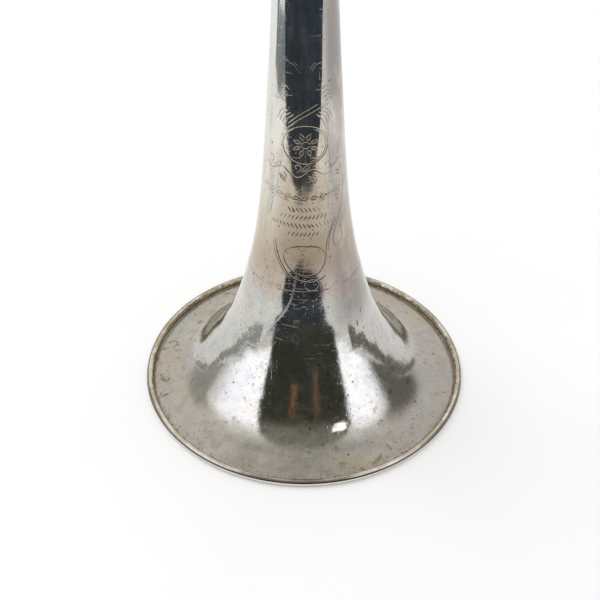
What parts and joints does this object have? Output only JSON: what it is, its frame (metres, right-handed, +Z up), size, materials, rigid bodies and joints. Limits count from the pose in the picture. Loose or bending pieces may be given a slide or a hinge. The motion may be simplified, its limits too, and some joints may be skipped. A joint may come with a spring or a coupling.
{
  "type": "trombone bell section",
  "caption": "Tenor trombone bell section: long silver bell standing on its rim, neckpipe with receiver and lock nut, two braces and a tuning slide that draws out.",
  "frame": {"origin": "centre of the bell rim, on the plane that the rim stands on", "axes": "+Z up along the bell axis from the rim to the tail, -X from the bell towards the neckpipe, -Y the engraved front"},
  "size_m": [0.2511, 0.2032, 0.5872],
  "materials": {
    "tarnished_silver": "tarnished polished silver with engraving",
    "rim_brass": "worn and dirty brass",
    "lacquered_brass": "old lacquer over polished brass",
    "nickel_silver": "polished nickel silver"
  },
  "bodies": {
    "bell_section": {"bell_flare": "tarnished_silver", "bell_stem": "tarnished_silver", "rim_wire": "rim_brass", "bell_ferrule": "nickel_silver", "neck_ferrule": "nickel_silver", "bell_outer_tube": "nickel_silver", "neck_outer_tube": "nickel_silver", "bell_outer_ring": "nickel_silver", "neck_outer_ring": "nickel_silver", "neckpipe": "lacquered_brass", "receiver": "nickel_silver", "receiver_ring": "nickel_silver", "main_brace_tube": "lacquered_brass", "main_brace_bell_foot": "nickel_silver", "main_brace_neck_foot": "nickel_silver", "upper_brace_tube": "lacquered_brass", "upper_brace_bell_foot": "nickel_silver", "upper_brace_neck_foot": "nickel_silver"},
    "lock_nut": {"bell_lock_nut": "nickel_silver"},
    "tuning_slide": {"bell_inner_leg": "nickel_silver", "neck_inner_leg": "nickel_silver", "bell_bow_ferrule": "nickel_silver", "neck_bow_ferrule": "nickel_silver", "tuning_bow": "lacquered_brass", "bow_brace_tube": "lacquered_brass", "bow_brace_bell_foot": "nickel_silver", "bow_brace_neck_foot": "nickel_silver", "counterweight_front": "lacquered_brass", "counterweight_back": "lacquered_brass", "counterweight_screws": "nickel_silver"}
  },
  "joints": [
    {"name": "tuning_slide_draw", "type": "slide", "parent": "bell_section", "child": "tuning_slide", "axis": [0, 0, 1], "range_m": [0, 0.065]},
    {"name": "lock_nut_spin", "type": "hinge", "parent": "bell_section", "child": "lock_nut", "pos_m": [-0.136, 0, 0.286], "axis": [0, 0, 1], "continuous": true}
  ]
}
